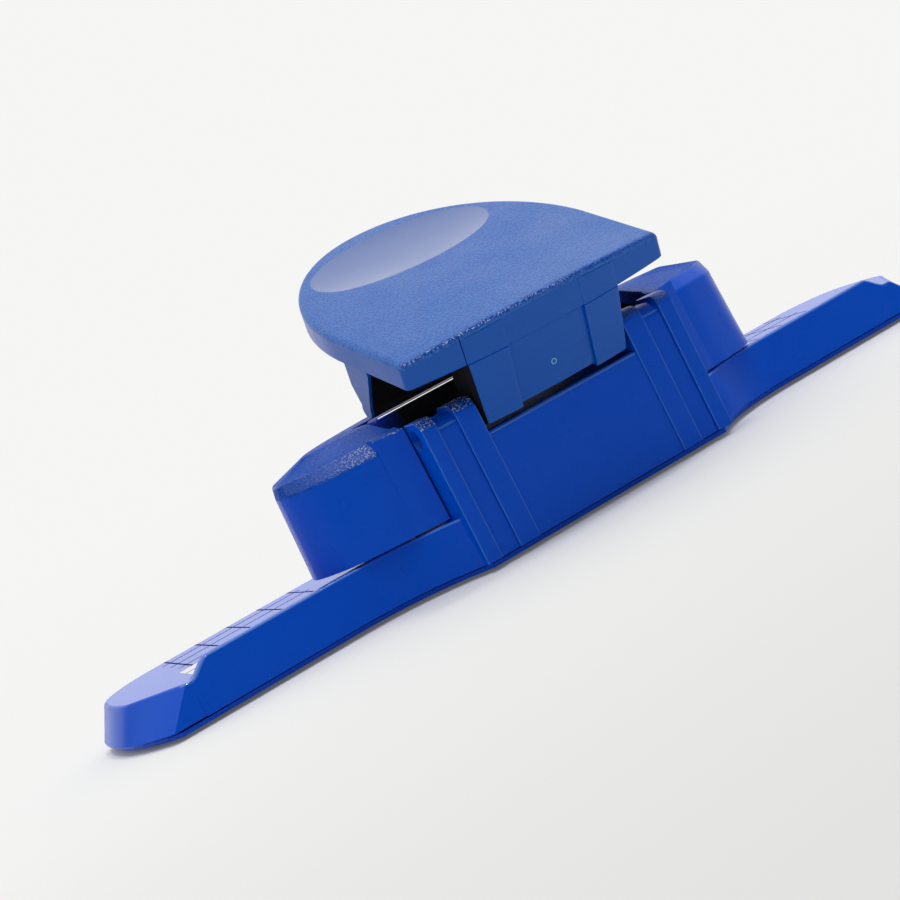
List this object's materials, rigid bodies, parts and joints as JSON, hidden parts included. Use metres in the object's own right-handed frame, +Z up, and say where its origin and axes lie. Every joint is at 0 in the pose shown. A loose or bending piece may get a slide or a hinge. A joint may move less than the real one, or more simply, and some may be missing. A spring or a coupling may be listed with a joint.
{
  "type": "paper edge punch",
  "caption": "Desk punch with long wings: a sprung thumb lever drives a comb of teeth that cuts a scalloped border along a sheet's edge.",
  "frame": {"origin": "centre of the overall box, on the surface that the feet stand on", "axes": "+X along the punch's length, -Y towards the user and the open side of the paper slot, +Z up; the lever's hinge is at the back, +Y"},
  "size_m": [0.173, 0.0598, 0.0596],
  "materials": {
    "blue_plastic": "saturated blue moulded plastic, semi-gloss, fine leather grain on the tops",
    "dark_plastic": "dark grey moulded plastic",
    "bright_steel": "bright ground steel",
    "zinc_screw": "zinc-plated steel",
    "grey_rubber": "dark grey rubber"
  },
  "bodies": {
    "base": {"base_tray": "blue_plastic", "bottom_cover": "blue_plastic", "housing": "blue_plastic", "housing_floor": "dark_plastic", "die_plate": "bright_steel", "stripper_plate": "bright_steel", "guide_post_left": "bright_steel", "guide_post_right": "bright_steel", "return_spring_left": "bright_steel", "return_spring_right": "bright_steel", "hinge_pin": "bright_steel", "foot_left_1": "grey_rubber", "foot_left_2": "grey_rubber", "foot_right_1": "grey_rubber", "foot_right_2": "grey_rubber", "cover_screw_left_1": "zinc_screw", "cover_screw_left_2": "zinc_screw", "cover_screw_left_3": "zinc_screw", "cover_screw_right_1": "zinc_screw", "cover_screw_right_2": "zinc_screw", "cover_screw_right_3": "zinc_screw", "die_screw_left_1": "zinc_screw", "die_screw_left_2": "zinc_screw", "die_screw_right_1": "zinc_screw", "die_screw_right_2": "zinc_screw", "floor_screw_left_1": "zinc_screw", "floor_screw_left_2": "zinc_screw", "floor_screw_right_1": "zinc_screw", "floor_screw_right_2": "zinc_screw", "housing_screw_left_1": "zinc_screw", "housing_screw_right_1": "zinc_screw"},
    "lever": {"lever": "blue_plastic"},
    "punch": {"punch_carrier": "dark_plastic", "punch_blades": "bright_steel", "pressure_bar": "dark_plastic"}
  },
  "joints": [
    {"name": "lever_press", "type": "hinge", "parent": "base", "child": "lever", "pos_m": [0, 0.01845, 0.0242], "axis": [1, 0, 0], "range_deg": [0, 21], "stiffness_Nm_per_rad": 0.08, "springref_deg": -34.38},
    {"name": "punch_press", "type": "slide", "parent": "base", "child": "punch", "axis": [0, 0, -1], "range_m": [0, 0.0062], "stiffness_N_per_m": 15, "springref_m": -0.012, "deforming": ["return_spring_left", "return_spring_right"]}
  ],
  "couplings": [
    {"joint": "punch_press", "follows": "lever_press", "m_per_rad": 0.01657}
  ]
}
